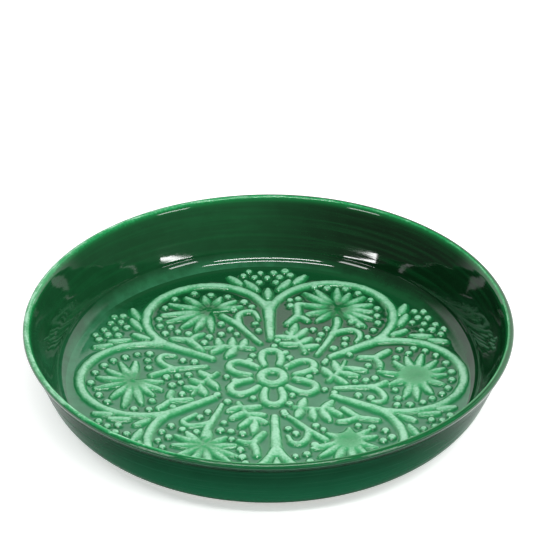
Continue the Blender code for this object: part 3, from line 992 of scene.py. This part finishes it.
def relief_glaze():
    """Gloss glaze over the trailed flowers."""
    material, tree, shader = new_material("green_glaze_over_relief")
    # thick carries painted shade towards the back of the floor, as well as the glaze pooled round the beads.
    lies = {label.title(): attribute(tree, label) for label in ("bare", "edge", "pool", "thick")}
    glaze = use(tree, GLAZE, Ground=GROUND_GREEN, Slope=SLOPE_GREEN, Thin=THIN_MINT, Rich=RICH_GREEN,
                Deep=DEEP_GREEN, Mottle=0.3, **lies)
    pits = use(tree, PITS, Spacing=3.6, Width=0.24, Share=0.22)
    dotted = mixed(tree, times(tree, pits.outputs[0], 0.8), glaze.outputs[0], DEEP_GREEN)
    tree.links.new(dotted, shader.inputs["Base Color"])
    cloud = use(tree, MOTTLE, Size=5.0, Low=0.3, High=0.7)
    tree.links.new(ramped(tree, cloud.outputs[0], 0.0, 1.0, 0.045, 0.11), shader.inputs["Roughness"])
    place = put(tree, "ShaderNodeTexCoord").outputs["Object"]
    ripples = put(tree, "ShaderNodeTexNoise", {"Vector": place, "Scale": 420.0, "Detail": 2.0})
    height = minus(tree, ripples.outputs["Fac"], times(tree, pits.outputs[0], 0.6))
    bump(tree, shader, height, 0.35, 0.09)
    shader.inputs["IOR"].default_value = 1.52
    return material


def wall_glaze():
    """The same glaze brushed round the wall and over the lip."""
    material, tree, shader = new_material("brushed_green_glaze")
    streaks = use(tree, STREAKS, Spacing=2.4, Length=60.0, Slant=0.02, Low=0.42, High=0.72)
    hairs = use(tree, STREAKS, Spacing=0.7, Length=14.0, Slant=0.05, Low=0.45, High=0.75)
    bare = attribute(tree, "bare")
    band = attribute(tree, "band")
    streaked = times(tree, band, hairs.outputs["Mask"])
    thin = plus(tree, times(tree, bare, plus(tree, 0.6, times(tree, hairs.outputs["Mask"], 0.5))),
                times(tree, streaked, 0.3))
    lower = attribute(tree, "low")
    # The thick attribute is painted shade here: the wall darkens towards the right.
    right_wall_shade = attribute(tree, "thick")
    upper = mixed(tree, right_wall_shade, colour(0.007, 0.056, 0.019), colour(0.002, 0.014, 0.004))
    ground = mixed(tree, lower, upper, mixed(tree, right_wall_shade, colour(0.024, 0.15, 0.066), DEEP_GREEN))
    deep = mixed(tree, right_wall_shade, colour(0.005, 0.042, 0.013), colour(0.001, 0.01, 0.003))
    rich = maths(tree, "MAXIMUM", band, times(tree, attribute(tree, "rich"), 0.8))
    glaze = use(tree, GLAZE, Bare=thin, Edge=rich, Pool=attribute(tree, "pool"), Mottle=0.5, Ground=ground,
                Slope=colour(0.02, 0.29, 0.09), Thin=THIN_MINT, Rich=RICH_GREEN, Deep=deep)
    brushed = mixed(tree, times(tree, streaks.outputs["Mask"], 0.09), glaze.outputs[0], RICH_GREEN)
    pits = use(tree, PITS, Spacing=1.5, Width=0.36, Share=0.45)
    dusty = use(tree, MOTTLE, Size=0.9, Low=0.4, High=0.6)
    dust = times(tree, band, times(tree, dusty.outputs[0], 0.55))
    dusted = mixed(tree, dust, brushed, colour(0.002, 0.07, 0.02))
    # Painted shade darkens the outer side of the lip below its crown.
    lip_underside_shaded = mixed(tree, attribute(tree, "dark"), dusted, colour(0.002, 0.045, 0.016))
    joined = mixed(tree, attribute(tree, "skirt"), lip_underside_shaded, colour(0.003, 0.034, 0.014))
    # A pale line at the glaze's end: partly the glaze thinning, partly a painted highlight.
    shown = mixed(tree, times(tree, attribute(tree, "line"), 0.7), joined, colour(0.07, 0.15, 0.1))
    dotted = mixed(tree, times(tree, pits.outputs[0], plus(tree, 0.25, band)), shown, DEEP_GREEN)
    tree.links.new(dotted, shader.inputs["Base Color"])
    tree.links.new(ramped(tree, streaks.outputs["Height"], 0.3, 0.8, 0.035, 0.07), shader.inputs["Roughness"])
    height = minus(tree, plus(tree, streaks.outputs["Height"], times(tree, hairs.outputs["Height"], 0.2)),
                  times(tree, pits.outputs[0], times(tree, band, 0.7)))
    bump(tree, shader, height, 0.25, 0.03)
    shader.inputs["IOR"].default_value = 1.52
    return material


def satin_coat():
    """The satin outside, with its throwing lines, worn pale at the base."""
    material, tree, shader = new_material("satin_green_coat")
    rings = use(tree, STREAKS, Spacing=3.2, Length=120.0, Slant=0.0, Low=0.35, High=0.7)
    cloud = use(tree, MOTTLE, Size=16.0, Low=0.3, High=0.7)
    specks = use(tree, PITS, Spacing=5.0, Width=0.5, Share=0.25)
    base = mixed(tree, cloud.outputs[0], colour(0.002, 0.03, 0.012), colour(0.003, 0.036, 0.015))
    # Painted reflection of the floor: the lower outside wall is coloured lighter.
    lower = mixed(tree, attribute(tree, "low"), base, colour(0.006, 0.072, 0.032))
    lined = mixed(tree, times(tree, rings.outputs["Mask"], 0.18), lower, colour(0.008, 0.08, 0.038))
    spotted = mixed(tree, times(tree, specks.outputs[0], 0.5), lined, colour(0.008, 0.04, 0.02))
    worn = mixed(tree, attribute(tree, "bare"), spotted, colour(0.5, 0.4, 0.34))
    tree.links.new(worn, shader.inputs["Base Color"])
    tree.links.new(ramped(tree, rings.outputs["Height"], 0.3, 0.7, 0.2, 0.3), shader.inputs["Roughness"])
    height = minus(tree, rings.outputs["Height"], times(tree, specks.outputs[0], 0.2))
    bump(tree, shader, height, 0.3, 0.05)
    shader.inputs["IOR"].default_value = 1.45
    shader.inputs["Specular IOR Level"].default_value = 0.025
    return material


def bare_clay(name, body, light, dark):
    """Unglazed clay, greyed where glaze has soaked into it."""
    material, tree, shader = new_material(name)
    clay = use(tree, CLAY, Body=body, Light=light, Dark=dark, Grain=0.5)
    rings = use(tree, STREAKS, Spacing=1.6, Length=200.0, Slant=0.0, Low=0.4, High=0.7)
    worn = mixed(tree, times(tree, rings.outputs["Mask"], 0.25), clay.outputs["Colour"], light)
    soaked = mixed(tree, attribute(tree, "soaked"), worn, colour(0.008, 0.045, 0.02))
    tree.links.new(soaked, shader.inputs["Base Color"])
    tree.links.new(clay.outputs["Roughness"], shader.inputs["Roughness"])
    bump(tree, shader, plus(tree, clay.outputs["Height"], rings.outputs["Height"]), 0.4, 0.15)
    return material


# The pieces


def make_floor(finish):
    nodes = ["centre_ring"] + [f"rosette_petal_{n}" for n in range(1, 7)]
    middle = floor_piece("floor_rosette", 0, 0, MIDDLE_RING, 6)
    add_piece("floor_rosette", middle, finish, nodes)
    for number in range(1, 7):
        name = f"floor_flower_{number}"
        nodes = [f"{part}_{number}" for part in ("daisy", "stem", "sprig", "leaf_spray")]
        nodes += [f"fan_leaf_{letter}_{number}" for letter in "abcd"]
        if number == 1:
            nodes.append("petal_rib")
        mesh = floor_piece(name, 60 * (number - 1), MIDDLE_RING, LAST_RING, 1)
        add_piece(name, mesh, finish, nodes)


def make_wall(finish):
    cove, wall, lip, outside = inner_line()
    front = np.concatenate([evenly(np.concatenate([cove, wall, lip[:1]]), 0.75)[:-1], evenly(lip, 0.3)[:-1],
                            evenly(np.concatenate([lip[-1:], outside]), 0.45)])
    lengths = running(front)
    lip_top = np.argmax(front[:, 1])
    to_top = lengths - lengths[lip_top]
    to_end = lengths[-1] - lengths
    swell = 0.14 * np.exp(-(((to_end - 0.9) / 0.7) ** 2))
    front = inset(front, -swell)
    front[-1] = inset(front[-3:], 0.22)[-1]
    back = inset(front, COAT - 0.06)[::-4]
    profile = np.concatenate([front, back])
    band = np.clip(1 - np.abs(to_top - 2.7) / 2.6, 0, 1) ** 0.5
    rich = np.exp(-(((to_top + 1.6) / 2.2) ** 2))
    # dark: painted shade over the outer side of the lip below its crown, where the roll shades it.
    dark = np.clip((to_top - 0.5) / 2.4, 0, 1)
    # line: a pale line where the glaze ends, partly the glaze thinning at its edge and partly a painted
    # highlight along it.
    line = np.exp(-(((to_top - 3.4) / 0.22) ** 2))
    skirt = np.clip((to_top - 3.4) / 0.3, 0, 1)
    low = np.clip(1 - lengths / 9.0, 0, 1)
    pool = 1.4 * np.exp(-(((to_end - 0.7) / 1.5) ** 4))
    fill = np.zeros(len(back))
    columns = 800
    values = {
        "dark": dark, "line": line, "skirt": skirt, "band": band, "pool": pool, "rich": rich, "low": low,
    }
    values = {label: np.append(value, fill) for label, value in values.items()}
    # Painted shade darkens the wall towards the right and a little towards the back, and a painted reflection
    # widens and pales the lip's crown on the left.
    place = np.linspace(0, 2 * math.pi, columns, endpoint=False)
    # On the left the pale crown is widened by a painted reflection; elsewhere bare is the glaze breaking thin
    # over the lip.
    left = np.clip(0.15 - np.cos(place), 0, 1) ** 1.5
    shift = to_top[:, None] + 1.2 - 1.2 * left
    bare = (0.9 + 0.35 * left) * np.exp(-((shift / (0.8 + 1.5 * left)) ** 2))
    values["bare"] = np.concatenate([bare, np.zeros((len(back), columns))])
    # thick here is painted shade: the wall darkens towards the right and a little towards the back.
    drift = eased((np.cos(place) + 0.35 * np.sin(place) - 0.1) / 0.75)
    values["thick"] = np.repeat(drift[None, :], len(profile), axis=0)
    length = lengths[-1]

    def shape(angle, along):
        inside = np.clip(1 - np.abs(along - length / 2) / (length / 2), 0, 1)
        hold = np.clip(inside * 6, 0, 1)
        ridges = 0.012 * round_ripple(angle, along, 5, 8.2, 1)
        ridges += 0.002 * round_ripple(angle, along, 11, 2.4, 2)
        sway = 0.07 * round_ripple(angle, 0 * along, 4, 1, 3)
        return ridges * hold, sway * np.clip((along - 14) / 20, 0, 1)

    mesh = turned("wall_and_lip_glaze", profile, columns, values, shape)
    add_piece("wall_and_lip_glaze", mesh, finish, ["inner_glaze"])


def make_outside(finish):
    front = evenly(outer_line(), 0.8)
    back = inset(front, COAT - 0.04)[::-4]
    height = np.append(front[:, 1], back[:, 1])
    radius = np.append(front[:, 0], back[:, 0])
    bare = 0.75 * np.exp(-(((height - UNDER) / 0.6) ** 2)) * (radius > BASE - 30)
    top = np.exp(-(((height - height.max()) / 0.35) ** 2)) * 0.02
    profile = np.concatenate([front, back])
    length = np.hypot(*np.diff(front, axis=0).T).sum()

    def shape(angle, along):
        hold = np.clip((length - along) / 6, 0, 1) * np.clip(along / 3, 0, 1)
        rings = 0.004 * np.sin(2 * math.pi * along / 4.1 + 0.6 * np.sin(angle))
        rings += 0.02 * round_ripple(angle, along, 3, 16, 5)
        return rings * hold, 0 * along

    # low: painted reflection of the floor, lightening the lower outside wall.
    low = np.clip((height.max() - 6 - height) / 20, 0, 1)
    mesh = turned("satin_outside", profile, 560, {"bare": np.maximum(bare, top), "low": low}, shape)
    add_piece("satin_outside", mesh, finish, ["outer_coat"])


def make_foot(finish):
    inner = FOOT_OUT - FOOT_WIDE
    soft = 0.8
    top = CLAY_UNDER - CLEARANCE
    corners = [
        np.array([[FOOT_OUT, top]]),
        arc((FOOT_OUT - soft, soft), soft, 0, -math.pi / 2, 8),
        arc((inner + soft, soft), soft, -math.pi / 2, -math.pi, 8),
        np.array([[inner, top]]),
    ]
    line = evenly(np.concatenate(corners), 0.45)
    profile = np.concatenate([line, evenly(np.array([[inner, top], [FOOT_OUT, top]]), 1.0)[1:-1]])

    def shape(angle, along):
        wear = 0.06 * round_ripple(angle, along, 9, 2.6, 6)
        return wear * (along < 13), 0 * along

    mesh = turned("bare_foot_ring", profile, 420, None, shape)
    add_piece("bare_foot_ring", mesh, finish, ["foot_ring"])


def make_clay(finish):
    _, wall, lip, _ = inner_line()
    floor = np.array([[0.0, FLOOR], [COVE_START - 1, FLOOR]])
    cove = arc((COVE_START, FLOOR + COVE), COVE, -math.pi / 2, -COVE_LEAN, 14)
    outside = outer_line()
    skin = np.concatenate([
        evenly(floor, 3.0), cove, wall[::3], lip[::3], outside[::3], outside[-1:], [[0.0, UNDER]],
    ])
    clay = inset(skin, COAT + CLEARANCE)
    clay[0], clay[-1] = (0.0, FLOOR - COAT - CLEARANCE), (0.0, CLAY_UNDER)
    turn = np.argmax(clay[:, 1])
    under = evenly(np.array([[FOOT_OUT + 0.5, CLAY_UNDER], [0.0, CLAY_UNDER]]), 0.8)
    bottom = np.concatenate([clay[turn:-2], under])
    mesh = capped("clay_wall_and_base", clay[:turn], bottom, 360)
    add_piece("clay_wall_and_base", mesh, finish, ["clay_body"])


make_floor(relief_glaze())
make_wall(wall_glaze())
make_outside(satin_coat())
CLAY_TONES = (colour(0.5, 0.33, 0.24), colour(0.68, 0.52, 0.42), colour(0.27, 0.16, 0.11))
make_foot(bare_clay("foot_clay_worn", *CLAY_TONES))
make_clay(bare_clay("body_clay", *CLAY_TONES))


# The studio


def plain_floor():
    """The paper the dish stands on. Reflections of its front part come out dim."""
    size = 6.0
    corners = [(-size, -size, 0), (size, -size, 0), (size, size, 0), (-size, size, 0)]
    mesh = bpy.data.meshes.new("studio_floor")
    mesh.from_pydata(corners, [], [(0, 1, 2, 3)])
    floor = bpy.data.objects.new("studio_floor", mesh)
    bpy.context.scene.collection.objects.link(floor)
    material, tree, shader = new_material("pale_paper")
    shader.inputs["Base Color"].default_value = colour(0.93, 0.93, 0.93)
    shader.inputs["Roughness"].default_value = 0.9
    shader.inputs["Specular IOR Level"].default_value = 0.1
    shader.inputs["Emission Color"].default_value = colour(1, 1, 1)
    shader.inputs["Emission Strength"].default_value = 0.42
    place = put(tree, "ShaderNodeTexCoord").outputs["Object"]
    axes = put(tree, "ShaderNodeSeparateXYZ", {0: place}).outputs
    ahead = ramped(tree, axes[1], -0.12, -0.02, 1.0, 0.0)
    middle = ramped(tree, maths(tree, "ABSOLUTE", axes[0]), 0.1, 0.24, 0.9, 0.0)
    front = times(tree, ahead, middle)
    glossy = put(tree, "ShaderNodeLightPath").outputs["Is Glossy Ray"]
    dim = put(tree, "ShaderNodeBsdfDiffuse", {"Color": colour(0.02, 0.03, 0.025)})
    dimmed = {0: times(tree, glossy, front), 1: shader.outputs[0], 2: dim.outputs[0]}
    shown = put(tree, "ShaderNodeMixShader", dimmed)
    tree.links.new(shown.outputs[0], tree.nodes["Material Output"].inputs["Surface"])
    mesh.materials.append(material)


def softbox(name, place, aim, width, height, power):
    lamp = bpy.data.lights.new(name, "AREA")
    lamp.shape = "RECTANGLE"
    lamp.size = width
    lamp.size_y = height
    lamp.energy = power
    made = bpy.data.objects.new(name, lamp)
    made.location = place
    made.rotation_euler = (Vector(aim) - Vector(place)).to_track_quat("-Z", "Y").to_euler()
    bpy.context.scene.collection.objects.link(made)
    return made


def heading(round_from_back, up, distance):
    """A place seen from the dish's middle: degrees round from the back towards the right, and degrees up."""
    a, e = math.radians(round_from_back), math.radians(up)
    across, back = distance * math.sin(a), distance * math.cos(a)
    return (across * math.cos(e), back * math.cos(e), distance * math.sin(e))


def room():
    """White paper behind the dish, dim elsewhere, and plain white where the camera looks past the floor."""
    world = bpy.data.worlds.new("studio")
    bpy.context.scene.world = world
    world.use_nodes = True
    tree = world.node_tree
    back = tree.nodes["Background"]
    place = put(tree, "ShaderNodeTexCoord").outputs["Generated"]
    axes = put(tree, "ShaderNodeSeparateXYZ", {0: place}).outputs
    paper = ramped(tree, axes[1], 0.1, 0.45, 0.0, 1.0)
    low = ramped(tree, axes[2], 0.58, 0.7, 1.0, 0.0)
    pale = times(tree, paper, low)
    strength = plus(tree, 0.12, times(tree, pale, 1.15))
    seen = put(tree, "ShaderNodeLightPath").outputs["Is Camera Ray"]
    tree.links.new(maths(tree, "MAXIMUM", strength, seen), back.inputs["Strength"])
    back.inputs["Color"].default_value = colour(1, 1, 1)


def studio_camera():
    """A long lens in front of the dish, above it, looking down. Angles are in radians."""
    distance = 2.1182
    elevation = 0.58809
    tilt = 0.57375
    roll = 0.00055
    rim = 0.04314
    data = bpy.data.cameras.new("camera")
    data.lens = 4000 / 533 * 36
    data.sensor_width = 36
    data.clip_end = 10
    camera = bpy.data.objects.new("camera", data)
    camera.location = (0, -distance * math.cos(elevation), rim + distance * math.sin(elevation))
    camera.rotation_euler = (math.pi / 2 - tilt, 0, roll)
    bpy.context.scene.collection.objects.link(camera)
    bpy.context.scene.camera = camera


plain_floor()
for side, name, fill in ((1, "right", 7.0), (-1, "left", 1.6)):
    softbox(f"{name}_low_window", heading(131 * side, 7.8, 1.2), (0, 0, 0.02), 0.36, 0.06, 1.7)
    softbox(f"{name}_glint_window", heading(131 * side, 30, 1.2), (0, 0, 0.02), 0.3, 0.16, 1.6)
    diffuser = softbox(f"{name}_fill", heading(118 * side, 48, 1.3), (0, 0, 0), 0.5, 0.6, fill)
    diffuser.visible_glossy = False
softbox("front_strip", heading(180, 54, 1.3), (0, 0, 0), 1.05, 0.06, 6.5)
softbox("overhead_strip", heading(180, 72, 1.3), (0, 0, 0), 1.05, 0.07, 5.4)
room()
studio_camera()
bpy.context.scene.view_settings.view_transform = "Standard"
